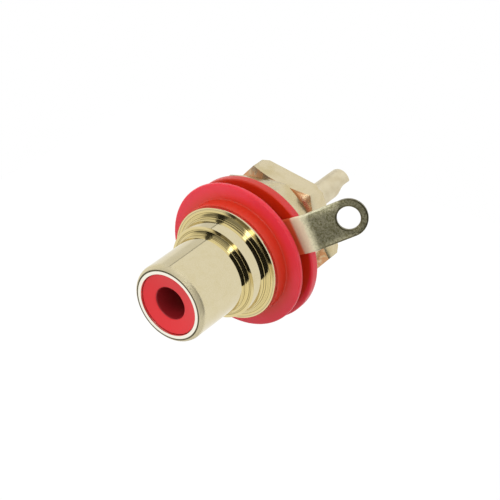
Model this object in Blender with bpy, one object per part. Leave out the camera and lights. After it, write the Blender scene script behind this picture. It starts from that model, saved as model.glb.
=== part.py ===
"""Round panel socket for a phono plug, with its washers, solder tag and two nuts.

The socket lies along Y, with its mouth towards -Y and its solder cup towards +Y. +Z is up.
The origin is on the axis, in the plane where the front washer meets the panel.
A profile is a list of (y, radius) points, turned about Y. Lengths are in metres.
"""

import math

import bmesh
import bpy
from mathutils import Matrix, Vector

# Fits. A seat is the gap between two faces that rest on each other.
SEAT = 0.00003
PRESS_CLEARANCE = 0.00003
THREAD_CLEARANCE = 0.00006
WASHER_CLEARANCE = 0.0001

# Shell: a barrel, a step and a flange, joined by hollow coves
BARREL_RADIUS = 0.00415
BARREL_LENGTH = 0.00644
LIP_RADIUS = 0.00366
LIP_CHAMFER = 0.00008
NOSE_LENGTH = 0.00077
STEP_RADIUS = 0.00504
STEP_LENGTH = 0.00122
COVE_LENGTH = 0.0008
FLANGE_RADIUS = 0.006135
FLANGE_RIM = 0.00042
EDGE_BREAK = 0.00006

# Shell: the threaded shank behind the flange, and the bores inside it
SHANK_RADIUS = 0.0045
THREAD_DEPTH = 0.00042
SHANK_END = 0.0092
SHELL_BORE_RADIUS = 0.0033
WEB_FRONT = -0.0026
WEB_LENGTH = 0.0016
WEB_BORE_RADIUS = 0.0026
REAR_BORE_RADIUS = 0.0031

# Insulator: the coloured sleeve in the barrel
FACE_RECESS = 0.0002
FACE_DISH = 0.00018
PIN_HOLE_RADIUS = 0.0017
PIN_HOLE_LENGTH = 0.0034
PIN_HOLE_CHAMFER = 0.00012
CHAMBER_RADIUS = 0.0023
INSULATOR_TAIL = 0.0028

# Centre contact: a slotted socket in front, a collar, and a solder cup behind
FINGER_OUTER_RADIUS = 0.00205
FINGER_BORE_RADIUS = 0.00155
FINGER_GAP = 0.00025
FINGER_LENGTH = 0.0042
FINGER_ROOT = 0.0007
SOCKET_DEPTH = 0.0046
SLOT_WIDTH = 0.0003
COLLAR_RADIUS = 0.0028
COLLAR_LENGTH = 0.0007
TAIL_RADIUS = 0.00128
TAIL_END = 0.01905
CUP_BORE_RADIUS = 0.0009
CUP_DEPTH = 0.0032
CUP_OPENING_LENGTH = 0.0024
CUP_CUTTER_RADIUS = 0.00125
CUP_OPENING_ANGLE = -78.0
CUP_EDGE = 0.00012

# Front washer: a hub under the flange, a disc, and a low shoulder that enters the panel's hole
DISC_RADIUS = 0.0079
FRONT_DISC_THICKNESS = 0.00054
HUB_RADIUS = 0.00622
HUB_LENGTH = 0.0014
SHOULDER_RADIUS = 0.00535
SHOULDER_HEIGHT = 0.0005
DISC_EDGE_RADIUS = 0.00018

# Solder tag: a ring and a lug, cut from sheet and folded back
PANEL_GAP = 0.00125
TAG_THICKNESS = 0.0004
TAG_RING_RADIUS = 0.0062
LUG_WIDTH = 0.00388
LUG_HOLE_RADIUS = 0.00118
LUG_REACH = 0.00371
FOLD_SETBACK = 0.00015
FOLD_RADIUS = 0.0026
FOLD_ANGLE = 30.6
LUG_ANGLE = 29.9

# Rear washer and the two nuts
REAR_DISC_THICKNESS = 0.00098
REAR_WASHER_PLAY = 0.00043
REAR_WASHER_SAG = 0.00041
NUT_ACROSS_FLATS = 0.01236
NUT_THICKNESS = 0.00269
NUT_CHAMFER_ANGLE = 30.0
NUT_FACE_RELIEF = 0.00013
NUT_CORNER_BREAK = 0.0005
NUT_BREAK_ANGLE = 60.0
CLAMP_NUT_ANGLE = 9.0
LOCK_NUT_ANGLE = -9.7

# Facets round a full turn, and steps in a quarter turn
OUTER_FACETS = 64
INNER_FACETS = 44
COVE_STEPS = 7
EDGE_STEPS = 3

# Places along the axis, worked out from the sizes above
HUB_FRONT = -FRONT_DISC_THICKNESS - HUB_LENGTH
FLANGE_BACK = HUB_FRONT - SEAT
FLANGE_FRONT = FLANGE_BACK - FLANGE_RIM
STEP_BACK = FLANGE_FRONT - COVE_LENGTH
STEP_FRONT = STEP_BACK - STEP_LENGTH
BARREL_BACK = STEP_FRONT - COVE_LENGTH
LIP_FRONT = BARREL_BACK - BARREL_LENGTH
FACE_FRONT = LIP_FRONT + FACE_RECESS
INSULATOR_BACK = WEB_FRONT + INSULATOR_TAIL
COLLAR_FRONT = INSULATOR_BACK + SEAT
COLLAR_BACK = COLLAR_FRONT + COLLAR_LENGTH
CHAMBER_FRONT = FACE_FRONT + FACE_DISH + PIN_HOLE_LENGTH
FINGER_FRONT = CHAMBER_FRONT + FINGER_GAP
TAG_FRONT = PANEL_GAP
REAR_WASHER_FRONT = TAG_FRONT + TAG_THICKNESS + SEAT
CLAMP_NUT_FRONT = REAR_WASHER_FRONT + REAR_DISC_THICKNESS + SEAT
LOCK_NUT_FRONT = CLAMP_NUT_FRONT + NUT_THICKNESS + SEAT
FOLD_START = DISC_RADIUS - FOLD_SETBACK

# Bores and fits that follow the piece inside them
WASHER_BORE_RADIUS = SHANK_RADIUS + WASHER_CLEARANCE
NUT_BORE_RADIUS = SHANK_RADIUS + THREAD_CLEARANCE
NUT_CORNER_RADIUS = NUT_ACROSS_FLATS / math.sqrt(3)
SHARP_ANGLE = math.radians(32)
WELD_DISTANCE = 1e-7


def arc(centre_y, centre_r, reach_y, reach_r, start, end, steps):
    """Points of an elliptic arc in a profile; the angle runs from +y towards +r."""
    points = []
    for step in range(steps + 1):
        angle = math.radians(start + (end - start) * step / steps)
        points.append((centre_y + reach_y * math.cos(angle), centre_r + reach_r * math.sin(angle)))
    return points


def material(name, colour, metallic, roughness):
    made = bpy.data.materials.new(name)
    made.use_nodes = True
    shader = made.node_tree.nodes["Principled BSDF"]
    shader.inputs["Base Color"].default_value = (*colour, 1.0)
    shader.inputs["Metallic"].default_value = metallic
    shader.inputs["Roughness"].default_value = roughness
    made.diffuse_color = (*colour, 1.0)
    return made


def new_object(name, bm, parent, finish=None):
    """A mesh object under its parent, with closed, outward and smoothly shaded faces."""
    bmesh.ops.remove_doubles(bm, verts=bm.verts[:], dist=WELD_DISTANCE)
    bmesh.ops.recalc_face_normals(bm, faces=bm.faces[:])
    mesh = bpy.data.meshes.new(name)
    bm.to_mesh(mesh)
    bm.free()
    mesh.shade_smooth()
    mesh.set_sharp_from_angle(angle=SHARP_ANGLE)
    made = bpy.data.objects.new(name, mesh)
    bpy.context.scene.collection.objects.link(made)
    made.parent = parent
    if finish:
        mesh.materials.append(finish)
    return made


def turned(profile, facets, closed=True):
    """A profile spun about Y. An open one starts and ends on the axis."""
    bm = bmesh.new()
    points = [bm.verts.new((radius, y, 0.0)) for y, radius in profile]
    edges = [bm.edges.new(pair) for pair in zip(points, points[1:])]
    if closed:
        edges.append(bm.edges.new((points[-1], points[0])))
    bmesh.ops.spin(
        bm,
        geom=points + edges,
        cent=(0, 0, 0),
        axis=(0, 1, 0),
        angle=math.tau,
        steps=facets,
        use_merge=True,
    )
    return bm


def cutter(name, bm, parent):
    made = new_object(name, bm, parent)
    made.hide_render = True
    made.display_type = "WIRE"
    return made


def cut(target, tool, operation="DIFFERENCE"):
    boolean = target.modifiers.new(tool.name, "BOOLEAN")
    boolean.operation = operation
    boolean.solver = "EXACT"
    boolean.object = tool


def empty(name, place, parent=None):
    made = bpy.data.objects.new(name, None)
    bpy.context.scene.collection.objects.link(made)
    made.location = place
    made.parent = parent
    return made


def shell(parent, gold):
    """The turned body. Each cove runs out of a cylinder and ends square to the axis."""
    nose = arc(LIP_FRONT + NOSE_LENGTH, LIP_RADIUS, -NOSE_LENGTH, BARREL_RADIUS - LIP_RADIUS, 0, 90, COVE_STEPS)
    first_cove = arc(BARREL_BACK, STEP_RADIUS, COVE_LENGTH, BARREL_RADIUS - STEP_RADIUS, 90, 0, COVE_STEPS)
    second_cove = arc(STEP_BACK, FLANGE_RADIUS, COVE_LENGTH, STEP_RADIUS - FLANGE_RADIUS, 90, 0, COVE_STEPS)
    outside = nose + first_cove + second_cove
    outside += [
        (FLANGE_BACK - EDGE_BREAK, FLANGE_RADIUS),
        (FLANGE_BACK, FLANGE_RADIUS - EDGE_BREAK),
        (FLANGE_BACK, SHANK_RADIUS),
        (SHANK_END - THREAD_DEPTH, SHANK_RADIUS),
        (SHANK_END, SHANK_RADIUS - THREAD_DEPTH),
    ]
    inside = [
        (SHANK_END, REAR_BORE_RADIUS),
        (WEB_FRONT + WEB_LENGTH, REAR_BORE_RADIUS),
        (WEB_FRONT + WEB_LENGTH, WEB_BORE_RADIUS),
        (WEB_FRONT, WEB_BORE_RADIUS),
        (WEB_FRONT, SHELL_BORE_RADIUS),
        (LIP_FRONT + LIP_CHAMFER, SHELL_BORE_RADIUS),
        (LIP_FRONT, SHELL_BORE_RADIUS + LIP_CHAMFER),
    ]
    return new_object("shell", turned(outside + inside, OUTER_FACETS), parent, gold)


def insulator(parent, plastic):
    """The sleeve between barrel and contact, with a dished face round the pin hole."""
    radius = SHELL_BORE_RADIUS - PRESS_CLEARANCE
    tail_radius = WEB_BORE_RADIUS - PRESS_CLEARANCE
    hole_front = FACE_FRONT + FACE_DISH
    profile = [
        (hole_front + PIN_HOLE_CHAMFER, PIN_HOLE_RADIUS),
        (hole_front, PIN_HOLE_RADIUS + PIN_HOLE_CHAMFER),
        (FACE_FRONT, radius - EDGE_BREAK),
        (FACE_FRONT + EDGE_BREAK, radius),
        (WEB_FRONT - SEAT, radius),
        (WEB_FRONT - SEAT, tail_radius),
        (INSULATOR_BACK, tail_radius),
        (INSULATOR_BACK, CHAMBER_RADIUS),
        (CHAMBER_FRONT, CHAMBER_RADIUS),
        (CHAMBER_FRONT, PIN_HOLE_RADIUS),
    ]
    return new_object("insulator", turned(profile, INNER_FACETS), parent, plastic)


def centre_contact(parent, gold):
    """One turned pin: slotted fingers in front, a collar, and a solder cup cut open on one side."""
    body_radius = CHAMBER_RADIUS - PRESS_CLEARANCE
    body_front = FINGER_FRONT + FINGER_LENGTH + FINGER_ROOT
    lead_in = FINGER_BORE_RADIUS + EDGE_BREAK
    profile = [
        (FINGER_FRONT + SOCKET_DEPTH, 0.0),
        (FINGER_FRONT + SOCKET_DEPTH, FINGER_BORE_RADIUS),
        (FINGER_FRONT + EDGE_BREAK, FINGER_BORE_RADIUS),
        (FINGER_FRONT, lead_in),
        (FINGER_FRONT, FINGER_OUTER_RADIUS - EDGE_BREAK),
        (FINGER_FRONT + EDGE_BREAK, FINGER_OUTER_RADIUS),
        (body_front, FINGER_OUTER_RADIUS),
        (body_front, body_radius),
        (COLLAR_FRONT, body_radius),
        (COLLAR_FRONT, COLLAR_RADIUS),
        (COLLAR_BACK, COLLAR_RADIUS),
        (COLLAR_BACK, TAIL_RADIUS),
        (TAIL_END - CUP_EDGE, TAIL_RADIUS),
        (TAIL_END, TAIL_RADIUS - CUP_EDGE),
        (TAIL_END, CUP_BORE_RADIUS),
        (TAIL_END - CUP_DEPTH, CUP_BORE_RADIUS),
        (TAIL_END - CUP_DEPTH - CUP_BORE_RADIUS / 2, 0.0),
    ]
    contact = new_object("centre_contact", turned(profile, INNER_FACETS, closed=False), parent, gold)
    for number, angle in enumerate((45, 135)):
        slot = bmesh.new()
        bmesh.ops.create_cube(slot, size=1.0)
        slot.transform(Matrix.Diagonal((FINGER_OUTER_RADIUS * 3, FINGER_LENGTH * 2, SLOT_WIDTH, 1.0)))
        tool = cutter(f"finger_slot_{number + 1}", slot, contact)
        tool.location = (0, FINGER_FRONT, 0)
        tool.rotation_euler = (0, math.radians(angle), 0)
        cut(contact, tool)
    cut(contact, cup_cutter(contact))
    return contact


def cup_cutter(parent):
    """The milled side opening: flat down to the axis, with a round end towards the socket."""
    start = TAIL_END - CUP_OPENING_LENGTH
    round_end = arc(start + CUP_CUTTER_RADIUS, CUP_CUTTER_RADIUS, CUP_CUTTER_RADIUS, CUP_CUTTER_RADIUS, 180, 270, 6)
    beyond = TAIL_END + TAIL_RADIUS
    outline = round_end + [(beyond, 0.0), (beyond, TAIL_RADIUS * 2), (start, TAIL_RADIUS * 2)]
    bm = bmesh.new()
    face = bm.faces.new([bm.verts.new((depth, y, -TAIL_RADIUS * 2)) for y, depth in outline])
    extruded = bmesh.ops.extrude_face_region(bm, geom=[face])
    moved = [item for item in extruded["geom"] if isinstance(item, bmesh.types.BMVert)]
    bmesh.ops.translate(bm, vec=(0, 0, TAIL_RADIUS * 4), verts=moved)
    tool = cutter("cup_opening", bm, parent)
    tool.rotation_euler = (0, -math.radians(CUP_OPENING_ANGLE), 0)
    return tool


def rear_bush(parent, plastic):
    """The bush that closes the shank and centres the contact's tail, hollowed for the collar."""
    radius = REAR_BORE_RADIUS - PRESS_CLEARANCE
    front = COLLAR_FRONT - SEAT
    back = SHANK_END - EDGE_BREAK * 4
    profile = [
        (front, COLLAR_RADIUS + PRESS_CLEARANCE),
        (front, radius),
        (back - EDGE_BREAK, radius),
        (back, radius - EDGE_BREAK),
        (back, TAIL_RADIUS + PRESS_CLEARANCE + EDGE_BREAK),
        (back - EDGE_BREAK, TAIL_RADIUS + PRESS_CLEARANCE),
        (COLLAR_BACK + SEAT, TAIL_RADIUS + PRESS_CLEARANCE),
        (COLLAR_BACK + SEAT, COLLAR_RADIUS + PRESS_CLEARANCE),
    ]
    return new_object("rear_bush", turned(profile, INNER_FACETS), parent, plastic)


def disc_rim(front, back):
    """The rounded rim of a moulded disc, from its front face to its back face."""
    edge = DISC_EDGE_RADIUS
    rim = arc(front + edge, DISC_RADIUS - edge, -edge, edge, 0, 90, EDGE_STEPS)
    return rim + arc(back - edge, DISC_RADIUS - edge, edge, edge, 90, 0, EDGE_STEPS)


def front_washer(parent, plastic):
    profile = [
        (SHOULDER_HEIGHT, WASHER_BORE_RADIUS),
        (HUB_FRONT, WASHER_BORE_RADIUS),
        (HUB_FRONT, HUB_RADIUS - EDGE_BREAK),
        (HUB_FRONT + EDGE_BREAK, HUB_RADIUS),
        (-FRONT_DISC_THICKNESS - EDGE_BREAK, HUB_RADIUS),
        (-FRONT_DISC_THICKNESS, HUB_RADIUS + EDGE_BREAK),
    ]
    profile += disc_rim(-FRONT_DISC_THICKNESS, 0.0)
    profile += [
        (0.0, SHOULDER_RADIUS),
        (SHOULDER_HEIGHT - EDGE_BREAK, SHOULDER_RADIUS),
        (SHOULDER_HEIGHT, SHOULDER_RADIUS - EDGE_BREAK),
    ]
    return new_object("front_washer", turned(profile, OUTER_FACETS), parent, plastic)


def rear_washer(parent, plastic):
    """A plain disc, so loose on the shank that it hangs below the axis."""
    bore_radius = SHANK_RADIUS + REAR_WASHER_PLAY
    profile = [(REAR_DISC_THICKNESS, bore_radius), (0.0, bore_radius)]
    profile += disc_rim(0.0, REAR_DISC_THICKNESS)
    washer = new_object("rear_washer", turned(profile, OUTER_FACETS), parent, plastic)
    washer.location = (0, REAR_WASHER_FRONT - TAG_FRONT, -REAR_WASHER_SAG)
    return washer


def circle(bm, radius, centre_x=0.0, facets=OUTER_FACETS):
    points = []
    for step in range(facets):
        angle = math.tau * step / facets
        points.append(bm.verts.new((centre_x + radius * math.cos(angle), 0.0, radius * math.sin(angle))))
    return [bm.edges.new(pair) for pair in zip(points, points[1:] + points[:1])]


def tag_outline(bm, hole_distance):
    """The blank's outer edge: round the ring, out along the lug and round its tip."""
    half_width = LUG_WIDTH / 2
    root_angle = math.asin(half_width / TAG_RING_RADIUS)
    points = []
    ring_steps = OUTER_FACETS - 10
    for step in range(ring_steps + 1):
        angle = root_angle + (math.tau - 2 * root_angle) * step / ring_steps
        points.append((TAG_RING_RADIUS * math.cos(angle), TAG_RING_RADIUS * math.sin(angle)))
    tip_steps = INNER_FACETS // 2
    for step in range(tip_steps + 1):
        angle = -math.pi / 2 + math.pi * step / tip_steps
        points.append((hole_distance + half_width * math.cos(angle), half_width * math.sin(angle)))
    corners = [bm.verts.new((x, 0.0, z)) for x, z in points]
    return [bm.edges.new(pair) for pair in zip(corners, corners[1:] + corners[:1])]


def folded(point):
    """Where a point of the flat blank goes when the lug is folded back over a round former."""
    bend = math.radians(FOLD_ANGLE)
    past = point.x - FOLD_START
    if past <= 0:
        return point
    turn = min(past / FOLD_RADIUS, bend)
    straight = max(past - FOLD_RADIUS * bend, 0.0)
    off_middle = TAG_THICKNESS / 2 - point.y
    x = FOLD_START + (FOLD_RADIUS + off_middle) * math.sin(turn) + straight * math.cos(turn)
    y = TAG_THICKNESS / 2 + FOLD_RADIUS - (FOLD_RADIUS + off_middle) * math.cos(turn) + straight * math.sin(turn)
    return Vector((x, y, point.z))


def solder_tag(parent, gold):
    """A ring and lug cut from sheet in one piece; the lug is then folded back past the rear washer."""
    bend_length = FOLD_RADIUS * math.radians(FOLD_ANGLE)
    hole_distance = FOLD_START + bend_length + LUG_REACH
    bm = bmesh.new()
    edges = tag_outline(bm, hole_distance)
    edges += circle(bm, WASHER_BORE_RADIUS, facets=INNER_FACETS)
    edges += circle(bm, LUG_HOLE_RADIUS, hole_distance, facets=INNER_FACETS // 2 + 8)
    bmesh.ops.triangle_fill(bm, use_beauty=True, edges=edges, normal=(0, -1, 0))
    extruded = bmesh.ops.extrude_face_region(bm, geom=bm.faces[:])
    moved = [item for item in extruded["geom"] if isinstance(item, bmesh.types.BMVert)]
    bmesh.ops.translate(bm, vec=(0, TAG_THICKNESS, 0), verts=moved)
    for step in range(COVE_STEPS + 1):
        bmesh.ops.bisect_plane(
            bm,
            geom=bm.verts[:] + bm.edges[:] + bm.faces[:],
            dist=WELD_DISTANCE,
            plane_co=(FOLD_START + bend_length * step / COVE_STEPS, 0, 0),
            plane_no=(1, 0, 0),
        )
    for vert in bm.verts:
        vert.co = folded(vert.co)
    tag = new_object("solder_tag", bm, parent, gold)
    tag.rotation_euler = (0, -math.radians(LUG_ANGLE), 0)
    return tag


def hex_nut(name, front, angle, parent, gold, chamfer_at_back):
    """A hexagon bar slice: one end has a flat chamfer, the other only its corners broken, and it is bored."""
    bm = bmesh.new()
    bmesh.ops.create_cone(
        bm,
        cap_ends=True,
        segments=6,
        radius1=NUT_CORNER_RADIUS,
        radius2=NUT_CORNER_RADIUS,
        depth=NUT_THICKNESS,
    )
    bm.transform(Matrix.Rotation(math.radians(90), 4, "Z") @ Matrix.Rotation(math.radians(90), 4, "Y"))
    corner = max(bm.verts, key=lambda vert: vert.co.x)
    bm.transform(Matrix.Rotation(math.atan2(corner.co.z, corner.co.x), 4, "Y"))
    bm.transform(Matrix.Translation((0, NUT_THICKNESS / 2, 0)))
    nut = new_object(name, bm, parent, gold)
    nut.location = (0, front - TAG_FRONT, 0)
    nut.rotation_euler = (0, -math.radians(angle), 0)

    face_radius = NUT_ACROSS_FLATS / 2 - NUT_FACE_RELIEF
    clear = NUT_CORNER_RADIUS * 1.05
    slope = math.tan(math.radians(NUT_CHAMFER_ANGLE))
    steep = math.tan(math.radians(NUT_BREAK_ANGLE))
    blank = [
        (0.0, 0.0),
        (0.0, face_radius),
        ((clear - face_radius) * slope, clear),
        (NUT_THICKNESS - NUT_CORNER_BREAK - (clear - NUT_CORNER_RADIUS) * steep, clear),
        (NUT_THICKNESS, NUT_CORNER_RADIUS - NUT_CORNER_BREAK / steep),
        (NUT_THICKNESS, 0.0),
    ]
    if chamfer_at_back:
        blank = [(NUT_THICKNESS - y, radius) for y, radius in reversed(blank)]
    cut(nut, cutter(f"{name}_blank", turned(blank, OUTER_FACETS, closed=False), nut), "INTERSECT")
    lead = THREAD_DEPTH / 2
    drill = [
        (-lead, 0.0),
        (-lead, NUT_BORE_RADIUS + 2 * lead),
        (lead, NUT_BORE_RADIUS),
        (NUT_THICKNESS - lead, NUT_BORE_RADIUS),
        (NUT_THICKNESS + lead, NUT_BORE_RADIUS + 2 * lead),
        (NUT_THICKNESS + lead, 0.0),
    ]
    cut(nut, cutter(f"{name}_bore", turned(drill, OUTER_FACETS, closed=False), nut))
    return nut


def build():
    for old in list(bpy.data.objects):
        bpy.data.objects.remove(old, do_unlink=True)
    gold = material("gold_plate", (0.67, 0.6, 0.38), 1.0, 0.2)
    tag_gold = material("tag_plate", (0.5, 0.46, 0.3), 1.0, 0.32)
    plastic = material("red_plastic", (0.7, 0.04, 0.05), 0.0, 0.35)

    socket = empty("socket", (0, 0, 0))
    shell(socket, gold)
    insulator(socket, plastic)
    centre_contact(socket, gold)
    rear_bush(socket, plastic)
    front_washer(socket, plastic)

    clamp_stack = empty("clamp_stack", (0, TAG_FRONT, 0), socket)
    solder_tag(clamp_stack, tag_gold)
    rear_washer(clamp_stack, plastic)
    hex_nut("clamp_nut", CLAMP_NUT_FRONT, CLAMP_NUT_ANGLE, clamp_stack, gold, True)
    hex_nut("lock_nut", LOCK_NUT_FRONT, LOCK_NUT_ANGLE, clamp_stack, gold, False)


build()
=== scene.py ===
import math

import bmesh
import bpy
from mathutils import Matrix, Vector


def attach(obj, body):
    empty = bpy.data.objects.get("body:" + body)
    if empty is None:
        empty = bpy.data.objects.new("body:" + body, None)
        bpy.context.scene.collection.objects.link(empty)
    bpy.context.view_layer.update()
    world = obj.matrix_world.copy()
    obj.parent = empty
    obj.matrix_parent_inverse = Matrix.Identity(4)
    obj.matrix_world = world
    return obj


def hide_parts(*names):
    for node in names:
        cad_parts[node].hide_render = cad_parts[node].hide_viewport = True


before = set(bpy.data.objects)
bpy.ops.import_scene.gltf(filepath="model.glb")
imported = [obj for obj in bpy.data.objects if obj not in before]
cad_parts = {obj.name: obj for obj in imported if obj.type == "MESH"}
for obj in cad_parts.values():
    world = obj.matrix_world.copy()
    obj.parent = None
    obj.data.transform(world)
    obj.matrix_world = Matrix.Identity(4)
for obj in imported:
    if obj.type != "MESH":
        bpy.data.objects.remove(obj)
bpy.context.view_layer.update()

# Shell: the socket's outer body, turned from one brass bar and plated pale gold.
# A barrel takes the plug's ring, two hollow coves step up to the flange, and a
# threaded shank goes through the panel. The coves keep the rings of the form tool.
MM = 0.001
SEAT = 0.03
BARREL_RADIUS = 4.15
LIP_RADIUS = 3.66
NOSE_LENGTH = 0.77
NOSE_SQUARENESS = 2.2
NOSE_STEPS = 28
LIP_FRONT = -11.65
BARREL_BACK = -5.21
STEP_BACK = -3.19
STEP_RADIUS = 5.04
COVE_LENGTH = 0.8
COVE_STEPS = 150
FLANGE_BACK = -1.97
FLANGE_RADIUS = 6.135
SHELL_BORE = 3.3
WEB_FRONT = -2.6
WEB_BACK = -1.0
WEB_BORE = 2.6
REAR_BORE = 3.1
SHANK_RADIUS = 4.5
SHANK_END = 9.2
THREAD_PITCH = 0.75
THREAD_DEPTH = 0.4
THREAD_CREST = 0.12
THREAD_ROOT = 0.8
THREAD_ROWS = 10
THREAD_START = 0.1
SHANK_CHAMFER = 0.45
# How steep a cove is, in degrees, at each share of the way along its curve
COVE_TURNS = (
    (0.00, 10), (0.30, 32), (0.31, 4), (0.325, 4), (0.33, 66), (0.35, 66), (0.355, 34), (0.44, 38),
    (0.445, 6), (0.455, 6), (0.46, 62), (0.47, 40), (0.68, 54), (0.71, 80), (1.00, 88),
)


class Wire:
    """An output socket. Arithmetic on it adds Math nodes to its tree."""

    def __init__(self, bench, socket):
        self.bench = bench
        self.socket = socket

    def __add__(self, other):
        return self.bench.math("ADD", self, other)

    def __radd__(self, other):
        return self.bench.math("ADD", other, self)

    def __sub__(self, other):
        return self.bench.math("SUBTRACT", self, other)

    def __rsub__(self, other):
        return self.bench.math("SUBTRACT", other, self)

    def __mul__(self, other):
        return self.bench.math("MULTIPLY", self, other)

    def __rmul__(self, other):
        return self.bench.math("MULTIPLY", other, self)

    def __truediv__(self, other):
        return self.bench.math("DIVIDE", self, other)

    def __mod__(self, other):
        return self.bench.math("FLOORED_MODULO", self, other)

    def __abs__(self):
        return self.bench.math("ABSOLUTE", self)


class Bench:
    """A node tree under construction, for a material, the world or a shape."""

    def __init__(self, tree):
        self.tree = tree

    def node(self, kind, settings=None, sockets=None, out=0):
        made = self.tree.nodes.new(kind)
        for name, value in (settings or {}).items():
            setattr(made, name, value)
        for name, value in (sockets or {}).items():
            if isinstance(value, Wire):
                self.tree.links.new(value.socket, made.inputs[name])
            else:
                made.inputs[name].default_value = value
        return Wire(self, made.outputs[out]) if made.outputs else made

    def math(self, operation, *values):
        return self.node("ShaderNodeMath", {"operation": operation}, dict(enumerate(values)))

    def above(self, value, low, high):
        """0 below low, 1 above high, and smooth in between."""
        sockets = {"Value": value, "From Min": low, "From Max": high}
        return self.node("ShaderNodeMapRange", {"interpolation_type": "SMOOTHSTEP"}, sockets)

    def below(self, value, low, high):
        return 1 - self.above(value, low, high)

    def tint(self, share, first, second):
        """A colour that goes from first to second."""
        sockets = {0: share, 6: first, 7: second}
        return self.node("ShaderNodeMix", {"data_type": "RGBA"}, sockets, out=2)

    def place(self):
        return self.node("ShaderNodeTexCoord", out=3)

    def axes(self, vector):
        split = self.node("ShaderNodeSeparateXYZ", None, {0: vector}).socket.node
        return [Wire(self, output) for output in split.outputs]

    def millimetres(self, vector):
        return [axis * 1000 for axis in self.axes(vector)]

    def distance(self, first, second):
        return self.math("SQRT", first * first + second * second)

    def noise(self, vector, scale, detail=2.0, roughness=0.5):
        sockets = {"Vector": vector, "Scale": scale, "Detail": detail, "Roughness": roughness}
        return self.node("ShaderNodeTexNoise", None, sockets)

    def tool_marks(self, along, scale, detail):
        """Noise along one line, for the rings that a cutting tool leaves."""
        sockets = {"W": along, "Scale": scale, "Detail": detail}
        return self.node("ShaderNodeTexNoise", {"noise_dimensions": "1D"}, sockets)

    def bump(self, strength, depth, height):
        sockets = {"Strength": strength, "Distance": depth * MM, "Height": height}
        return self.node("ShaderNodeBump", None, sockets)


def paint(red, green, blue):
    return (red, green, blue, 1.0)


def finish_bench(name):
    """A new material with an empty bench, and the wiring of its surface."""
    material = bpy.data.materials.new(name)
    material.use_nodes = True
    material.node_tree.nodes.clear()
    return material, Bench(material.node_tree)


def coat(bench, colour, roughness, bump, **others):
    """Ends a material in one Principled surface."""
    sockets = {"Base Color": colour, "Roughness": roughness, "Normal": bump}
    sockets.update({name.replace("_", " "): value for name, value in others.items()})
    surface = bench.node("ShaderNodeBsdfPrincipled", None, sockets)
    bench.node("ShaderNodeOutputMaterial", None, {"Surface": surface})


PALE_GOLD = paint(0.70, 0.62, 0.41)
DEEP_GOLD = paint(0.66, 0.575, 0.35)
COVE_REFLECTION_GOLD = paint(0.72, 0.58, 0.24)
SHADED_GOLD = paint(0.20, 0.145, 0.04)
LIP_HIGHLIGHT_GOLD = paint(0.92, 0.90, 0.80)
RIM_SHADE = paint(0.03, 0.025, 0.012)


def turned_gold():
    """Bright plate with fine rings. Its colour carries painted light: a painted reflection with painted
    shade streaks in the coves, a painted highlight on the lip and a painted dark line round the lip.
    """
    material, bench = finish_bench("turned_gold")
    spot = bench.place()
    across, along, up = bench.millimetres(spot)
    radius = bench.distance(across, up)
    rings = bench.tool_marks(along, 9.0, 3.0)
    mottle = bench.noise(spot, 900.0, 4.0, 0.7)
    grain = bench.noise(spot, 7000.0, 2.0)
    cloudy = bench.above(mottle, 0.4, 0.7) * 0.5 + bench.above(grain, 0.35, 0.65) * 0.5
    colour = bench.tint(cloudy, PALE_GOLD, DEEP_GOLD)
    # Painted reflection and shade: the coves take a deeper yellow with dark streaks, for the light the
    # gold throws between its rings and their shade.
    coves = 0.0
    for start in (BARREL_BACK, STEP_BACK):
        end = start + COVE_LENGTH
        begun = bench.above(along, start - 0.03, start + 0.03)
        coves = coves + begun * bench.below(along, end - 0.04, end + 0.04)
    cove_shade_streaks = bench.above(bench.tool_marks(along + radius, 6.0, 3.0), 0.54, 0.6)
    colour = bench.tint(coves * 0.85, colour, bench.tint(cove_shade_streaks, COVE_REFLECTION_GOLD, SHADED_GOLD))
    front = bench.below(along, LIP_FRONT + 0.25, LIP_FRONT + 0.8)
    lip_highlight = front * bench.below(radius, LIP_RADIUS - 0.04, LIP_RADIUS + 0.02)
    rim = front * bench.above(radius, LIP_RADIUS - 0.02, LIP_RADIUS + 0.02)
    rim = rim * bench.below(radius, LIP_RADIUS + 0.12, LIP_RADIUS + 0.2)
    nose = front * (1 - lip_highlight) * (1 - rim)
    # Painted highlight: the lip is tinted near white where it catches the light.
    colour = bench.tint(lip_highlight * 0.85, colour, LIP_HIGHLIGHT_GOLD)
    colour = bench.tint(rim * 0.9, colour, RIM_SHADE)
    scores = bench.tool_marks(along + radius, 11.0, 2.0)
    bump = bench.bump(0.5, 0.01, rings * 0.1 + grain * 0.1 + coves * scores)
    coat(bench, colour, 0.05 + 0.05 * mottle + 0.4 * nose, bump, Metallic=1 - 0.55 * nose)
    return material


def eased(corners, radius=0.05, steps=3):
    """The closed profile with each sharp corner rounded a little, as a tumbled part has."""
    made = []
    for number, corner in enumerate(corners):
        here = Vector(corner[:2])
        before = Vector(corners[number - 1][:2]) - here
        after = Vector(corners[(number + 1) % len(corners)][:2]) - here
        turn = before.angle(-after, 0.0)
        if turn < math.radians(25):
            made.append(tuple(corner))
            continue
        reach = min(radius, before.length * 0.4, after.length * 0.4)
        start = here + before.normalized() * reach
        end = here + after.normalized() * reach
        for step in range(steps + 1):
            share = step / steps
            point = start * (1 - share) ** 2 + here * 2 * share * (1 - share) + end * share**2
            made.append(tuple(point))
    return made


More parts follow.
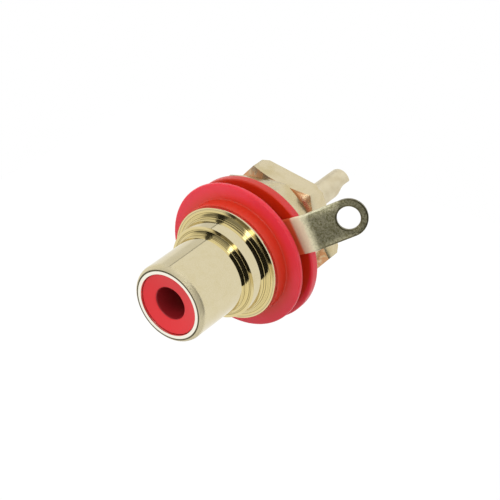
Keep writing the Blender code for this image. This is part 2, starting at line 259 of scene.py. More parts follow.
def lathe_tree():
    """The shape tree of every turned piece: it spins a profile about the Y axis.

    A grid takes one column for each step round the turn and one row for each profile point.
    Points with a thread value get a screw thread of that share of the full depth.
    """
    tree = bpy.data.node_groups.new("lathe", "GeometryNodeTree")
    face = tree.interface
    face.new_socket("Profile", in_out="INPUT", socket_type="NodeSocketGeometry")
    kinds = {"Turn Steps": "Int", "Thread Pitch": "Float", "Thread Depth": "Float", "Finish": "Material"}
    for name, kind in kinds.items():
        face.new_socket(name, in_out="INPUT", socket_type=f"NodeSocket{kind}")
    face.new_socket("Piece", in_out="OUTPUT", socket_type="NodeSocketGeometry")
    bench = Bench(tree)
    given = bench.node("NodeGroupInput").socket.node
    profile, steps, pitch, depth, finish = [Wire(bench, output) for output in given.outputs][:5]
    rows = bench.node("GeometryNodeAttributeDomainSize", None, {"Geometry": profile})
    grid = {"Size X": 1.0, "Size Y": 1.0, "Vertices X": steps + 1, "Vertices Y": rows + 1}
    sheet = bench.node("GeometryNodeMeshGrid", None, grid)
    index = bench.node("GeometryNodeInputIndex")
    row = index % (rows + 1)
    column = (index - row) / (rows + 1)
    turn = column / steps
    place = bench.node("GeometryNodeInputPosition")
    sample = {"Geometry": profile, "Value": place, "Index": row % rows}
    point = bench.node("GeometryNodeSampleIndex", {"data_type": "FLOAT_VECTOR"}, sample)
    named = bench.node("GeometryNodeInputNamedAttribute", {"data_type": "FLOAT"}, {"Name": "thread"})
    sample = {"Geometry": profile, "Value": named, "Index": row % rows}
    share = bench.node("GeometryNodeSampleIndex", {"data_type": "FLOAT"}, sample)
    radius, along, _ = bench.axes(point)
    phase = (along / pitch + turn) % 1.0
    flank_range = {"Value": abs(phase * 2.0 - 1.0), "From Min": THREAD_CREST, "From Max": THREAD_ROOT}
    flank = bench.node("ShaderNodeMapRange", None, flank_range)
    radius = radius - flank * depth * share
    angle = turn * math.tau
    across = radius * bench.math("COSINE", angle)
    up = radius * bench.math("SINE", angle)
    spot = bench.node("ShaderNodeCombineXYZ", None, {"X": across, "Y": along, "Z": up})
    wrapped = bench.node("GeometryNodeSetPosition", None, {"Geometry": sheet, "Position": spot})
    joined = bench.node("GeometryNodeMergeByDistance", None, {"Geometry": wrapped, "Distance": 1e-7})
    real = bench.node("GeometryNodeRealizeInstances", None, {"Geometry": joined})
    done = bench.node("GeometryNodeSetMaterial", None, {"Geometry": real, "Material": finish})
    bench.node("NodeGroupOutput", None, {"Piece": done})
    return tree


LATHE = lathe_tree()
TURN_STEPS = 160


def linked(name, data):
    made = bpy.data.objects.new(name, data)
    bpy.context.scene.collection.objects.link(made)
    return made


def plain_mesh(source, name, sharp=35.0):
    """The evaluated shape as a mesh object of its own: closed, facing outwards, smooth."""
    graph = bpy.context.evaluated_depsgraph_get()
    shape = source.evaluated_get(graph)
    mesh = bpy.data.meshes.new_from_object(shape, preserve_all_data_layers=True, depsgraph=graph)
    bpy.data.objects.remove(source)
    bm = bmesh.new()
    bm.from_mesh(mesh)
    bmesh.ops.remove_doubles(bm, verts=bm.verts[:], dist=1e-7)
    bmesh.ops.dissolve_degenerate(bm, edges=bm.edges[:], dist=1e-8)
    bmesh.ops.recalc_face_normals(bm, faces=bm.faces[:])
    bm.to_mesh(mesh)
    bm.free()
    mesh.name = name
    mesh.shade_smooth()
    mesh.set_sharp_from_angle(angle=math.radians(sharp))
    return linked(name, mesh)


def turned(name, profile, finish, steps=TURN_STEPS):
    """A closed profile of (y, radius) or (y, radius, thread) points, made solid by the lathe tree."""
    mesh = bpy.data.meshes.new(name)
    mesh.from_pydata([(point[1] * MM, point[0] * MM, 0.0) for point in profile], [], [])
    thread = mesh.attributes.new("thread", "FLOAT", "POINT")
    thread.data.foreach_set("value", [point[2] if len(point) > 2 else 0.0 for point in profile])
    blank = linked(name, mesh)
    spin = blank.modifiers.new("lathe", "NODES")
    spin.node_group = LATHE
    values = {"Turn Steps": steps, "Thread Pitch": THREAD_PITCH * MM, "Thread Depth": THREAD_DEPTH * MM}
    values["Finish"] = finish
    for item in LATHE.interface.items_tree:
        if item.in_out == "INPUT" and item.name in values:
            spin[item.identifier] = values[item.name]
    return plain_mesh(blank, name)


def tool_cove(back, radius, rise):
    """A hollow cove, followed by its slope in COVE_TURNS; the small lands are the tool's rings."""
    length = height = 0.0
    walk = [(0.0, 0.0)]
    for step in range(COVE_STEPS):
        share = (step + 0.5) / COVE_STEPS
        after = next(number for number, (place, _) in enumerate(COVE_TURNS) if place > share)
        (low, first), (high, second) = COVE_TURNS[after - 1], COVE_TURNS[after]
        slope = math.radians(first + (second - first) * (share - low) / (high - low))
        length += math.cos(slope)
        height += math.sin(slope)
        walk.append((length, height))
    return [(back + COVE_LENGTH * y / length, radius - rise + rise * r / height) for y, r in walk]


nose = []
for step in range(NOSE_STEPS + 1):
    angle = math.pi / 2 * step / NOSE_STEPS
    ahead = NOSE_LENGTH * math.cos(angle) ** (2 / NOSE_SQUARENESS)
    outward = (BARREL_RADIUS - LIP_RADIUS) * math.sin(angle) ** (2 / NOSE_SQUARENESS)
    nose.append((LIP_FRONT + NOSE_LENGTH - ahead, LIP_RADIUS + outward))
shank_rows = []
row_step = THREAD_PITCH / THREAD_ROWS
for row in range(int((SHANK_END - SHANK_CHAMFER - THREAD_START) / row_step) + 1):
    shank_rows.append((THREAD_START + row * row_step, SHANK_RADIUS, min(1.0, row / THREAD_ROWS)))
shell_profile = eased(
    nose
    + tool_cove(BARREL_BACK, STEP_RADIUS, STEP_RADIUS - BARREL_RADIUS)
    + tool_cove(STEP_BACK, FLANGE_RADIUS, FLANGE_RADIUS - STEP_RADIUS)
    + [(FLANGE_BACK, FLANGE_RADIUS), (FLANGE_BACK, SHANK_RADIUS)]
)
shell_profile += shank_rows
shell_profile += [
    (SHANK_END - SHANK_CHAMFER + 0.05, SHANK_RADIUS - 0.02, 1.0),
    (SHANK_END - 0.02, SHANK_RADIUS - SHANK_CHAMFER + 0.03),
    (SHANK_END, SHANK_RADIUS - SHANK_CHAMFER),
    (SHANK_END, REAR_BORE),
    (WEB_BACK, REAR_BORE),
    (WEB_BACK, WEB_BORE),
    (WEB_FRONT, WEB_BORE),
    (WEB_FRONT, SHELL_BORE),
    (LIP_FRONT + 0.1, SHELL_BORE),
    (LIP_FRONT + 0.02, SHELL_BORE + 0.03),
    (LIP_FRONT, SHELL_BORE + 0.1),
]
GOLD = turned_gold()
shell = turned("shell_body", shell_profile, GOLD, steps=192)
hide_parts("shell")
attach(shell, "socket_body")

# Insulator: the moulded red sleeve between barrel and contact. Its face is a little
# dished, and the pin hole in it has a small chamfer and opens into the contact's chamber.
FACE_FRONT = LIP_FRONT + 0.2
FACE_DISH = 0.18
PIN_HOLE = 1.7
PIN_HOLE_LENGTH = 3.4
CHAMBER = 2.3
CHAMBER_FRONT = FACE_FRONT + FACE_DISH + PIN_HOLE_LENGTH
SLEEVE_BACK = 0.2
FIT = 0.03
SLEEVE_LIGHT = paint(0.76, 0.014, 0.020)
SLEEVE_DARK = paint(0.70, 0.010, 0.014)
PIN_SHADE = paint(0.30, 0.012, 0.016)


def moulded_red(name, light, dark, shade, inner, outer, glow=0.0):
    """Semi-gloss moulded plastic with flow marks. Inside the inner radius it has the shade's colour,
    which is painted light: painted shade in the pin hole and in the gap between the washers, and a
    painted reflection of the gold round the hub.

    A share of the light, the glow, goes a little way through it, as it does in a thin disc.
    """
    material, bench = finish_bench(name)
    spot = bench.place()
    across, _, up = bench.millimetres(spot)
    flow = bench.noise(spot, 160.0, 3.0)
    colour = bench.tint(bench.above(flow, 0.4, 0.75), light, dark)
    # Painted light: the inner colour stands in for shade or reflected light near the middle.
    colour = bench.tint(bench.above(bench.distance(across, up), inner, outer), shade, colour)
    bump = bench.bump(0.12, 0.03, bench.noise(spot, 2600.0, 3.0))
    depth = {"Subsurface_Radius": (1.0, 0.25, 0.1), "Subsurface_Scale": 1.2 * MM}
    coat(bench, colour, 0.34 + 0.12 * flow, bump, Subsurface_Weight=glow, **depth)
    return material


insulator_profile = eased(
    [
        (FACE_FRONT + FACE_DISH + 0.14, PIN_HOLE),
        (FACE_FRONT + FACE_DISH, PIN_HOLE + 0.12),
        (FACE_FRONT + 0.02, SHELL_BORE - FIT - 0.12),
        (FACE_FRONT, SHELL_BORE - FIT - 0.06),
        (FACE_FRONT + 0.06, SHELL_BORE - FIT),
        (WEB_FRONT - SEAT, SHELL_BORE - FIT),
        (WEB_FRONT - SEAT, WEB_BORE - FIT),
        (SLEEVE_BACK, WEB_BORE - FIT),
        (SLEEVE_BACK, CHAMBER),
        (CHAMBER_FRONT, CHAMBER),
        (CHAMBER_FRONT, PIN_HOLE),
    ]
)
hole_edge = (PIN_HOLE + 0.02, PIN_HOLE + 0.1)
RED_SLEEVE = moulded_red("moulded_red_sleeve", SLEEVE_LIGHT, SLEEVE_DARK, PIN_SHADE, *hole_edge)
insulator = turned("insulator_sleeve", insulator_profile, RED_SLEEVE, steps=128)
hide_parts("insulator")
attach(insulator, "socket_body")

# Centre contact: one turned brass pin, plated like the shell. Two crossed saw cuts make
# its four fingers, and a milled side opening turns its rear end into a solder cup.
FINGER_FRONT = CHAMBER_FRONT + 0.25
FINGER_OUTER = 2.05
FINGER_BORE = 1.55
FINGER_LENGTH = 4.2
SOCKET_DEPTH = 4.6
SAW_CUT = 0.3
BODY_FRONT = FINGER_FRONT + FINGER_LENGTH + 0.7
COLLAR_FRONT = SLEEVE_BACK + FIT
COLLAR_BACK = 0.93
COLLAR_RADIUS = 2.8
TAIL_RADIUS = 1.28
TAIL_END = 19.05
TAIL_ROWS = 24
TAIL_ROWS_FROM = 8.0
CUP_BORE = 0.9
CUP_DEPTH = 3.2
CUP_OPENING = 2.4
CUP_CUTTER = 1.25
CUP_TURN = math.radians(-78.0)


def arc(centre_y, centre_r, reach_y, reach_r, start, end, steps):
    """Points of an elliptic arc in a profile; the angle runs from +y towards +r."""
    points = []
    for step in range(steps + 1):
        angle = math.radians(start + (end - start) * step / steps)
        points.append((centre_y + reach_y * math.cos(angle), centre_r + reach_r * math.sin(angle)))
    return points


def cut(target, tool, operation="DIFFERENCE"):
    boolean = target.modifiers.new(tool.name, "BOOLEAN")
    boolean.operation = operation
    boolean.solver = "EXACT"
    boolean.object = tool
    return tool


def broken_edges(target, width, angle=40.0):
    """Breaks the sharp edges of a machined or stamped piece."""
    bevel = target.modifiers.new("broken_edges", "BEVEL")
    bevel.width = width * MM
    bevel.segments = 2
    bevel.limit_method = "ANGLE"
    bevel.angle_limit = math.radians(angle)
    return target


def turned_solid(name, profile, finish, steps):
    """A turned piece that reaches the axis; its first and last points lie a hair off it."""
    hair = 0.0002
    return turned(name, [(y, max(r, hair)) for y, r in profile], finish, steps)


def pin_gold():
    """Duller plate for soldering, over fine turning marks."""
    material, bench = finish_bench("pin_gold")
    spot = bench.place()
    along = bench.millimetres(spot)[1]
    cloud = bench.noise(spot, 700.0, 3.0)
    colour = bench.tint(bench.above(cloud, 0.35, 0.7), paint(0.74, 0.66, 0.47), paint(0.66, 0.57, 0.38))
    bump = bench.bump(0.15, 0.03, bench.tool_marks(along, 6.0, 3.0))
    coat(bench, colour, 0.32 + 0.12 * cloud, bump, Metallic=1.0)
    return material


contact_profile = [
    (FINGER_FRONT + SOCKET_DEPTH, 0.0),
    (FINGER_FRONT + SOCKET_DEPTH, FINGER_BORE),
    (FINGER_FRONT + 0.06, FINGER_BORE),
    (FINGER_FRONT, FINGER_BORE + 0.06),
    (FINGER_FRONT, FINGER_OUTER - 0.06),
    (FINGER_FRONT + 0.06, FINGER_OUTER),
    (BODY_FRONT, FINGER_OUTER),
    (BODY_FRONT, CHAMBER - FIT),
    (COLLAR_FRONT, CHAMBER - FIT),
    (COLLAR_FRONT, COLLAR_RADIUS),
    (COLLAR_BACK, COLLAR_RADIUS),
    (COLLAR_BACK, TAIL_RADIUS),
]
# Rows along the tail keep its facets short beside the milled opening.
row_length = (TAIL_END - 0.16 - TAIL_ROWS_FROM) / (TAIL_ROWS - 1)
for row in range(TAIL_ROWS):
    contact_profile.append((TAIL_ROWS_FROM + row_length * row, TAIL_RADIUS))
contact_profile += [
    (TAIL_END - 0.05, TAIL_RADIUS - 0.03),
    (TAIL_END, TAIL_RADIUS - 0.1),
    (TAIL_END, CUP_BORE + 0.03),
    (TAIL_END - 0.04, CUP_BORE),
    (TAIL_END - CUP_DEPTH, CUP_BORE),
    (TAIL_END - CUP_DEPTH - 0.45, 0.0),
]
PIN_GOLD = pin_gold()
contact = turned_solid("contact_blank", contact_profile, PIN_GOLD, 96)
tools = []
for number, turn in enumerate((45, 135)):
    saw = bmesh.new()
    bmesh.ops.create_cube(saw, size=1.0)
    blade = Matrix.Diagonal((FINGER_OUTER * 3 * MM, FINGER_LENGTH * 2 * MM, SAW_CUT * MM, 1.0))
    turned_blade = Matrix.Rotation(math.radians(turn), 4, "Y") @ blade
    saw.transform(Matrix.Translation((0, FINGER_FRONT * MM, 0)) @ turned_blade)
    saw_mesh = bpy.data.meshes.new(f"saw_{number + 1}")
    saw.to_mesh(saw_mesh)
    saw_mesh.materials.append(PIN_GOLD)
    saw.free()
    tools.append(cut(contact, linked(f"saw_{number + 1}", saw_mesh)))
mill = bmesh.new()
start = TAIL_END - CUP_OPENING
round_end = arc(start + CUP_CUTTER, CUP_CUTTER, CUP_CUTTER, CUP_CUTTER, 180, 270, 14)
beyond = TAIL_END + TAIL_RADIUS
outline = round_end + [(beyond, 0.0), (beyond, TAIL_RADIUS * 2), (start, TAIL_RADIUS * 2)]
corners = [mill.verts.new((depth * MM, y * MM, -TAIL_RADIUS * 2 * MM)) for y, depth in outline]
side = mill.faces.new(corners)
sweep = bmesh.ops.extrude_face_region(mill, geom=[side])["geom"]
moved = [item for item in sweep if isinstance(item, bmesh.types.BMVert)]
bmesh.ops.translate(mill, vec=(0, 0, TAIL_RADIUS * 4 * MM), verts=moved)
mill.transform(Matrix.Rotation(-CUP_TURN, 4, "Y"))
bmesh.ops.recalc_face_normals(mill, faces=mill.faces[:])
mill_mesh = bpy.data.meshes.new("cup_mill")
mill.to_mesh(mill_mesh)
mill_mesh.materials.append(PIN_GOLD)
mill.free()
tools.append(cut(contact, linked("cup_mill", mill_mesh)))
broken_edges(contact, 0.035)
contact = plain_mesh(contact, "contact_pin")
for tool in tools:
    bpy.data.objects.remove(tool)
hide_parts("centre_contact")
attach(contact, "socket_body")

# Rear bush: the red plug that closes the shank and holds the contact's tail on the axis.
# Only its back face shows, round the tail, inside the end of the thread.
BUSH_BACK = SHANK_END - 0.24
BUSH_BORE = TAIL_RADIUS + FIT + 0.02
bush_profile = eased(
    [
        (SLEEVE_BACK, COLLAR_RADIUS + FIT),
        (SLEEVE_BACK, REAR_BORE - FIT),
        (BUSH_BACK, REAR_BORE - FIT),
        (BUSH_BACK, BUSH_BORE),
        (COLLAR_BACK + FIT, BUSH_BORE),
        (COLLAR_BACK + FIT, COLLAR_RADIUS + FIT),
    ],
    radius=0.08,
)
bush = turned("shank_bush", bush_profile, RED_SLEEVE, steps=96)
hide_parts("rear_bush")
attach(bush, "socket_body")

# Front washer: a moulded red disc whose hub lifts the flange off the panel. A low
# shoulder on its back keeps the shank clear of the edge of the panel's hole.
DISC_RADIUS = 7.9
FRONT_DISC = 0.54
HUB_RADIUS = 6.22
HUB_FRONT = -1.94
WASHER_BORE = SHANK_RADIUS + 0.1
HUB_FILLET = 0.12
SHOULDER_RADIUS = 5.35
SHOULDER_BACK = 0.5
DISC_EDGE = 0.18
DISC_LIGHT = paint(0.76, 0.026, 0.050)
DISC_DARK = paint(0.72, 0.020, 0.036)
# Painted reflection: the hub and the middle of the disc are tinted orange and darker, for the light the
# gold flange throws on them.
HUB_REFLECTION_RED = paint(0.66, 0.035, 0.008)


def disc_rim(front, back):
    """The rounded rim of a moulded disc, from its front face to its back face."""
    rim = arc(front + DISC_EDGE, DISC_RADIUS - DISC_EDGE, -DISC_EDGE, DISC_EDGE, 0, 90, 8)
    return rim + arc(back - DISC_EDGE, DISC_RADIUS - DISC_EDGE, DISC_EDGE, DISC_EDGE, 90, 0, 8)


fillet_front = -FRONT_DISC - HUB_FILLET
front_profile = eased(
    [
        (SHOULDER_BACK, WASHER_BORE),
        (HUB_FRONT, WASHER_BORE),
        (HUB_FRONT, HUB_RADIUS),
        (fillet_front, HUB_RADIUS + 0.01),
    ]
    + arc(fillet_front, HUB_RADIUS + HUB_FILLET + 0.01, HUB_FILLET, -HUB_FILLET, 90, 0, 6)
    + disc_rim(-FRONT_DISC, 0.0)
    + [(0.0, SHOULDER_RADIUS), (SHOULDER_BACK, SHOULDER_RADIUS)],
    radius=0.07,
)
RED_DISC = moulded_red("moulded_red_disc", DISC_LIGHT, DISC_DARK, HUB_REFLECTION_RED, 6.0, 7.5, 0.25)
front_washer = turned("front_disc", front_profile, RED_DISC)
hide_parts("front_washer")
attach(front_washer, "socket_body")

# Rear washer: a plain moulded red disc, loose on the shank, so it hangs a little low.
# It keeps the solder tag and the nuts off the panel.
REAR_FRONT = 1.68
REAR_DISC = 0.98
REAR_SAG = 0.41
REAR_WASHER_BORE = SHANK_RADIUS + 0.43
# Painted shade: the rear washer is darker and more orange towards its middle, where it sits in the gap
# behind the front washer.
GAP_SHADE_RED = paint(0.55, 0.026, 0.003)
rear_profile = [(REAR_DISC, REAR_WASHER_BORE), (0.0, REAR_WASHER_BORE)] + disc_rim(0.0, REAR_DISC)
rear_profile = [(y + REAR_FRONT, r) for y, r in eased(rear_profile, radius=0.07)]
RED_BACK = moulded_red("moulded_red_back", DISC_LIGHT, DISC_DARK, GAP_SHADE_RED, 7.4, 7.75, 0.25)
rear_washer = turned("rear_disc", rear_profile, RED_BACK)
rear_washer.data.transform(Matrix.Translation((0, 0, -REAR_SAG * MM)))
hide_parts("rear_washer")
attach(rear_washer, "clamp_stack")

# Solder tag: ring and lug stamped from one sheet of brass and satin plated. The lug is
# folded back past the rear washer, and its round hole takes the ground wire.
TAG_FRONT = 1.25
TAG_THICKNESS = 0.4
TAG_RING = 6.2
LUG_WIDTH = 3.88
LUG_HOLE = 1.18
LUG_REACH = 3.71
FOLD_START = DISC_RADIUS - 0.15
FOLD_RADIUS = 2.6
FOLD = math.radians(30.6)
LUG_TURN = math.radians(29.9)
TAG_EDGE = 0.05
STRIP_START = 6.4
STRIP_WIDTH = 0.12
LUG_HALF = LUG_WIDTH / 2
HOLE_PLACE = FOLD_START + FOLD_RADIUS * FOLD + LUG_REACH
SANDY_DARK = paint(0.32, 0.29, 0.15)
SANDY_LIGHT = paint(0.68, 0.64, 0.43)
PUNCHED_EDGE_SHADE = paint(0.10, 0.085, 0.04)
TAG_HIGHLIGHT = paint(0.92, 0.88, 0.62)
WASHER_REFLECTION = paint(0.80, 0.16, 0.05)


def satin_tag():
    """Plate over rolled sheet, with a sandy grain. Its colour also carries painted light: painted shade
    along the punched edges, a painted highlight on the bend and along the top edge, and a warm painted
    reflection of the red washers at its root.
    """
    material, bench = finish_bench("satin_tag")
    spot = bench.place()
    grain = bench.noise(spot, 4600.0, 4.0, 0.8)
    cloud = bench.noise(spot, 600.0, 3.0)
    colour = bench.tint(bench.above(grain, 0.38, 0.62), SANDY_DARK, SANDY_LIGHT)
    blank = bench.node("ShaderNodeAttribute", {"attribute_name": "blank"}, None, out=1)
    along, across, _ = bench.axes(blank)
    from_hole = bench.distance(along - HOLE_PLACE, across)
    at_hole = bench.below(from_hole, LUG_HOLE + 0.1, LUG_HOLE + 0.2)
    at_tip = bench.above(from_hole, LUG_HALF - 0.2, LUG_HALF - 0.1)
    at_tip = at_tip * bench.above(along, HOLE_PLACE - 0.4, HOLE_PLACE)
    at_side = bench.below(across, 0.1 - LUG_HALF, 0.2 - LUG_HALF)
    # Painted shade: the punched edges round the hole, the tip and the lower side are darkened.
    edge_shade = bench.math("MAXIMUM", at_hole, bench.math("MAXIMUM", at_tip, at_side))
    colour = bench.tint(edge_shade * 0.75, colour, PUNCHED_EDGE_SHADE)
    # Painted highlight along the top edge of the lug.
    top_highlight = bench.above(across, LUG_HALF - 0.22, LUG_HALF - 0.1)
    top_highlight = top_highlight * bench.below(along, HOLE_PLACE - 2.0, HOLE_PLACE - 0.5)
    colour = bench.tint(top_highlight * 0.7, colour, TAG_HIGHLIGHT)
    # Painted highlight over the bend, which is also made less metallic there.
    bend_highlight = bench.below(along, FOLD_START + 0.2, FOLD_START + 1.7)
    colour = bench.tint(bend_highlight * 0.85, colour, TAG_HIGHLIGHT)
    # Painted reflection: the root is tinted warm red, for the red washers it faces, and made rougher.
    root_reflection = bench.below(along, FOLD_START - 0.7, FOLD_START - 0.3)
    colour = bench.tint(root_reflection, colour, WASHER_REFLECTION)
    bump = bench.bump(0.5, 0.04, grain)
    coat(bench, colour, 0.24 + 0.14 * cloud + 0.3 * root_reflection, bump, Metallic=1 - 0.8 * bend_highlight)
    return material


def loop(bm, points):
    corners = [bm.verts.new((x * MM, 0.0, z * MM)) for x, z in points]
    return [bm.edges.new(pair) for pair in zip(corners, corners[1:] + corners[:1])]


def round_points(radius, centre_x, steps):
    turns = [math.tau * step / steps for step in range(steps)]
    return [(centre_x + radius * math.cos(turn), radius * math.sin(turn)) for turn in turns]


def folded(point):
    """Where a point of the flat blank goes when the lug is folded over a round former."""
    x, y = point.x / MM, point.y / MM
    past = x - FOLD_START
    if past <= 0:
        return Vector((x * MM, y * MM, point.z))
    turn = min(past / FOLD_RADIUS, FOLD)
    straight = max(past - FOLD_RADIUS * FOLD, 0.0)
    reach = FOLD_RADIUS + TAG_THICKNESS / 2 - y
    out = FOLD_START + reach * math.sin(turn) + straight * math.cos(turn)
    back = TAG_THICKNESS / 2 + FOLD_RADIUS - reach * math.cos(turn) + straight * math.sin(turn)
    return Vector((out * MM, back * MM, point.z))


lug_start = math.asin(LUG_HALF / TAG_RING)
outer = arc(0.0, 0.0, TAG_RING, TAG_RING, math.degrees(lug_start), 360 - math.degrees(lug_start), 110)
outer += arc(HOLE_PLACE, 0.0, LUG_HALF, LUG_HALF, -90, 90, 40)
blank = bmesh.new()
edges = loop(blank, outer)
edges += loop(blank, round_points(WASHER_BORE, 0.0, 96))
edges += loop(blank, round_points(LUG_HOLE, HOLE_PLACE, 56))
bmesh.ops.triangle_fill(blank, use_beauty=True, edges=edges, normal=(0, -1, 0))
swept = bmesh.ops.extrude_face_region(blank, geom=blank.faces[:])["geom"]
moved = [item for item in swept if isinstance(item, bmesh.types.BMVert)]
bmesh.ops.translate(blank, vec=(0, TAG_THICKNESS * MM, 0), verts=moved)
bmesh.ops.recalc_face_normals(blank, faces=blank.faces[:])
tag_mesh = bpy.data.meshes.new("tag_blank")
blank.to_mesh(tag_mesh)
blank.free()
tag_blank = broken_edges(linked("tag_blank", tag_mesh), TAG_EDGE)
tag = plain_mesh(tag_blank, "tag_lug")
strip = bmesh.new()
strip.from_mesh(tag.data)
for step in range(int((HOLE_PLACE + LUG_HALF - STRIP_START) / STRIP_WIDTH)):
    geometry = strip.verts[:] + strip.edges[:] + strip.faces[:]
    place = Vector(((STRIP_START + STRIP_WIDTH * step) * MM, 0, 0))
    bmesh.ops.bisect_plane(strip, geom=geometry, dist=1e-8, plane_co=place, plane_no=(1, 0, 0))
blank_place = strip.verts.layers.float_vector.new("blank")
for vert in strip.verts:
    vert[blank_place] = (vert.co.x / MM, vert.co.z / MM, vert.co.y / MM)
    vert.co = folded(vert.co)
strip.transform(Matrix.Translation((0, TAG_FRONT * MM, 0)) @ Matrix.Rotation(-LUG_TURN, 4, "Y"))
strip.to_mesh(tag.data)
strip.free()
tag.data.shade_smooth()
tag.data.set_sharp_from_angle(angle=math.radians(35))
tag.data.materials.clear()
tag.data.materials.append(satin_tag())
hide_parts("solder_tag")
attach(tag, "solder_tag")

# Nuts: two hexagon nuts of the same bar, plated like the shell. The first clamps the
# rear washer and the second locks it. Each is chamfered at the end that faces the other.
ACROSS_FLATS = 12.36
NUT_BORE = SHANK_RADIUS + 0.06
NUT_THICKNESS = 2.69
CLAMP_FRONT = REAR_FRONT + REAR_DISC + SEAT
LOCK_FRONT = CLAMP_FRONT + NUT_THICKNESS + SEAT
NUT_JOINT = LOCK_FRONT - SEAT / 2
NUT_CHAMFER = math.tan(math.radians(30))
NUT_FACE_RELIEF = 0.13
NUT_CORNER_BREAK = 0.5
NUT_BREAK = math.tan(math.radians(60))
NUT_EDGE = 0.07
DRILL_SINK = 0.2
BAR_LIGHT = paint(0.69, 0.60, 0.40)
BAR_DARK = paint(0.61, 0.51, 0.29)
CHAMFER_REFLECTION_ORANGE = paint(0.64, 0.22, 0.04)


def rolled_gold():
    """Plate over drawn hexagon bar, lined and mottled; at the chamfers a painted reflection of the red
    washer tints it orange in patches, and makes it less metallic.
    """
    material, bench = finish_bench("rolled_gold")
    spot = bench.place()
    drawn = bench.node("ShaderNodeMapping", None, {"Vector": spot, "Scale": (1.0, 0.06, 1.0)})
    lines = bench.noise(drawn, 3000.0, 3.0)
    mottle = bench.noise(spot, 500.0, 3.0)
    colour = bench.tint(bench.above(mottle, 0.35, 0.7), BAR_LIGHT, BAR_DARK)
    across, along, up = bench.millimetres(spot)
    cone = (bench.distance(across, up) - ACROSS_FLATS / 2 + NUT_FACE_RELIEF) * NUT_CHAMFER
    # Painted reflection: the chamfers take an orange tint in patches.
    patches = bench.above(bench.noise(spot, 1400.0, 3.0), 0.38, 0.56)
    chamfer = bench.below(abs(along - NUT_JOINT) - cone, 0.0, 0.06) * (0.3 + 0.5 * patches)
    colour = bench.tint(chamfer, colour, CHAMFER_REFLECTION_ORANGE)
    bump = bench.bump(0.12, 0.03, lines)
    coat(bench, colour, 0.2 + 0.12 * mottle, bump, Metallic=1 - 0.6 * chamfer)
    return material


def hexagon_nut(name, front, turn, chamfer_at_back, finish):
    """A slice of hexagon bar, chamfered at one end and bored, with broken edges."""
    flat = ACROSS_FLATS / 2
    corner = flat / math.cos(math.radians(30))
    bar = bmesh.new()
    corners = []
    for degrees in range(0, 360, 60):
        angle = math.radians(degrees)
        point = Vector((corner * math.cos(angle), 0, corner * math.sin(angle)))
        corners.append(bar.verts.new(point * MM))
    end = bar.faces.new(corners)
    sweep = bmesh.ops.extrude_face_region(bar, geom=[end])["geom"]
    moved = [item for item in sweep if isinstance(item, bmesh.types.BMVert)]
    bmesh.ops.translate(bar, vec=(0, NUT_THICKNESS * MM, 0), verts=moved)
    bmesh.ops.recalc_face_normals(bar, faces=bar.faces[:])
    mesh = bpy.data.meshes.new(name)
    bar.to_mesh(mesh)
    bar.free()
    mesh.materials.append(finish)
    nut = linked(f"{name}_bar", mesh)
    clear = corner * 1.05
    face = flat - NUT_FACE_RELIEF
    blank = [
        (0.0, 0.0),
        (0.0, face),
        ((clear - face) * NUT_CHAMFER, clear),
        (NUT_THICKNESS - NUT_CORNER_BREAK - (clear - corner) * NUT_BREAK, clear),
        (NUT_THICKNESS, corner - NUT_CORNER_BREAK / NUT_BREAK),
        (NUT_THICKNESS, 0.0),
    ]
    if chamfer_at_back:
        blank = [(NUT_THICKNESS - y, r) for y, r in reversed(blank)]
    drill = [
        (-DRILL_SINK, 0.0),
        (-DRILL_SINK, NUT_BORE + DRILL_SINK * 2),
        (DRILL_SINK, NUT_BORE),
        (NUT_THICKNESS - DRILL_SINK, NUT_BORE),
        (NUT_THICKNESS + DRILL_SINK, NUT_BORE + DRILL_SINK * 2),
        (NUT_THICKNESS + DRILL_SINK, 0.0),
    ]
    tools = [
        cut(nut, turned_solid(f"{name}_blank", blank, finish, 120), "INTERSECT"),
        cut(nut, turned_solid(f"{name}_drill", drill, finish, 120)),
    ]
    broken_edges(nut, NUT_EDGE, 24.0)
    nut = plain_mesh(nut, name, sharp=40.0)
    for tool in tools:
        bpy.data.objects.remove(tool)
    turned_nut = Matrix.Rotation(-math.radians(turn), 4, "Y")
    nut.data.transform(Matrix.Translation((0, front * MM, 0)) @ turned_nut)
    return nut


BAR_GOLD = rolled_gold()
for name, node, front, turn, chamfer_at_back in (
    ("front_nut", "clamp_nut", CLAMP_FRONT, 9.0, True),
    ("back_nut", "lock_nut", LOCK_FRONT, -9.7, False),
):
    nut = hexagon_nut(name, front, turn, chamfer_at_back, BAR_GOLD)
    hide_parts(node)
    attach(nut, "nuts")

# Studio: a pale floor well below the socket, which a panel would hold up, and a white
# tent round it. Only reflections show the tent's dark opening, the bright edge of the
# opening, a dimmer corner and a dark seam; the camera and matt surfaces see plain white.
FLOOR_DROP = 45.0
FLOOR_REACH = 90.0
FLOOR_GREY = paint(0.3, 0.3, 0.3)
FLOOR_GLOW = 0.7
PLAIN_WHITE = paint(1, 1, 1)


def ray_kinds(bench, *names):
    path = bench.node("ShaderNodeLightPath").socket.node
    return [Wire(bench, path.outputs[name]) for name in names]


def pale_floor():
    """Matt grey with the object's shadow, lifted to white where it is seen or reflected."""
    material, bench = finish_bench("pale_floor")
    direct, reflected, through = ray_kinds(bench, "Is Camera Ray", "Is Glossy Ray", "Is Transmission Ray")
    matt = bench.node("ShaderNodeBsdfDiffuse", None, {"Color": FLOOR_GREY})
    glow = bench.node("ShaderNodeEmission", None, {"Color": PLAIN_WHITE, "Strength": FLOOR_GLOW})
    lifted = bench.node("ShaderNodeAddShader", None, {0: matt, 1: glow})
    seen = direct + reflected + through
    shown = bench.node("ShaderNodeMixShader", None, {0: seen, 1: matt, 2: lifted})
    bench.node("ShaderNodeOutputMaterial", None, {"Surface": shown})
    return material


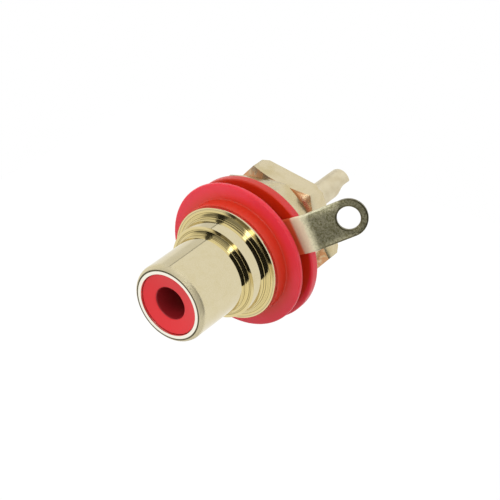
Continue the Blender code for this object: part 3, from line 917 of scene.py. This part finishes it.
floor_corners = [(x * FLOOR_REACH, y * FLOOR_REACH) for x, y in ((-1, -1), (1, -1), (1, 1), (-1, 1))]
floor_mesh = bpy.data.meshes.new("floor")
floor_mesh.from_pydata([(x * MM, y * MM, -FLOOR_DROP * MM) for x, y in floor_corners], [], [(0, 1, 2, 3)])
floor_mesh.materials.append(pale_floor())
floor = linked("floor", floor_mesh)

world = bpy.data.worlds.new("tent")
bpy.context.scene.world = world
world.use_nodes = True
world.node_tree.nodes.clear()
bench = Bench(world.node_tree)
east, north, rise = bench.axes(bench.node("ShaderNodeTexCoord"))
bearing = bench.math("ARCTAN2", east, north * -1.0) * (180 / math.pi)

upper_edge = 0.85 * east - 0.06 * north - 0.525 * rise - 0.005
lower_edge = rise + 0.127 * north + 0.445
opening = bench.above(upper_edge, 0.0, 0.03) * bench.above(lower_edge, 0.0, 0.03)
opening = opening * bench.above(bearing, 11, 15) * bench.below(bearing, 116, 120)
bright_edge = bench.above(upper_edge, -0.15, -0.12) * bench.below(upper_edge, -0.03, 0.0)
bright_edge = bright_edge * bench.above(rise, 0.1, 0.2) * bench.below(north, -0.2, 0.0)
dim_corner = bench.below(upper_edge, -0.2, -0.15) * bench.below(north, -0.35, -0.1)
dim_corner = dim_corner * bench.above(rise, 0.15, 0.3)

off_seam = abs(east + 0.05 * rise + 0.52)
seam_width = 0.11 * bench.below(north, 0.05, 0.6)
seam = bench.below(off_seam - seam_width, 0.0, 0.016) * bench.above(rise, -0.1, 0.1)
beyond_seam = bench.below(east, -0.56, -0.52) * bench.above(rise, 0.1, 0.3)

tent = (1 - 0.985 * opening) * (1 - 0.9 * seam) * (1 - 0.68 * dim_corner) * (1 - 0.15 * beyond_seam)
tent = tent + 2.2 * bright_edge
glossy_ray = ray_kinds(bench, "Is Glossy Ray")[0]
level = 1 - glossy_ray * (1 - tent)
light = bench.node("ShaderNodeBackground", None, {"Color": PLAIN_WHITE, "Strength": level})
bench.node("ShaderNodeOutputWorld", None, {"Surface": light})

KEY_SIZE = 0.12
KEY_WATTS = 0.12
KEY_FROM = Vector((-0.1, -0.16, 0.2))
key_lamp = bpy.data.lights.new("key", "AREA")
key_lamp.shape = "SQUARE"
key_lamp.size = KEY_SIZE
key_lamp.energy = KEY_WATTS
key = linked("key", key_lamp)
key.matrix_world = Matrix.Translation(KEY_FROM) @ KEY_FROM.to_track_quat("Z", "Y").to_matrix().to_4x4()
key.visible_glossy = False

# Camera: close to the socket, above and to the right of its mouth, as in the photo. It
# is aimed and its lens is chosen so that the origin and the scale fall as measured there.
CAMERA_AZIMUTH = math.radians(35.694)
CAMERA_ELEVATION = math.radians(31.891)
CAMERA_DISTANCE = 150.0
PIXELS_PER_MM = 9.8381
ORIGIN_PIXEL = (238.70, 253.37)
PICTURE = 500
back = Vector(
    (
        math.sin(CAMERA_AZIMUTH) * math.cos(CAMERA_ELEVATION),
        -math.cos(CAMERA_AZIMUTH) * math.cos(CAMERA_ELEVATION),
        math.sin(CAMERA_ELEVATION),
    )
)
right = Vector((math.cos(CAMERA_AZIMUTH), math.sin(CAMERA_AZIMUTH), 0))
up = back.cross(right)
off_right = (PICTURE / 2 - ORIGIN_PIXEL[0]) / PIXELS_PER_MM
off_up = (ORIGIN_PIXEL[1] - PICTURE / 2) / PIXELS_PER_MM
target = right * off_right + up * off_up
camera_data = bpy.data.cameras.new("camera")
camera_data.sensor_width = 36.0
camera_data.lens = 36.0 * CAMERA_DISTANCE * PIXELS_PER_MM / PICTURE
camera_data.clip_start = 0.01
camera = linked("camera", camera_data)
turn = Matrix((right, up, back)).transposed().to_4x4()
camera.matrix_world = Matrix.Translation((target + back * CAMERA_DISTANCE) * MM) @ turn
bpy.context.scene.camera = camera
bpy.context.scene.view_settings.view_transform = "Standard"
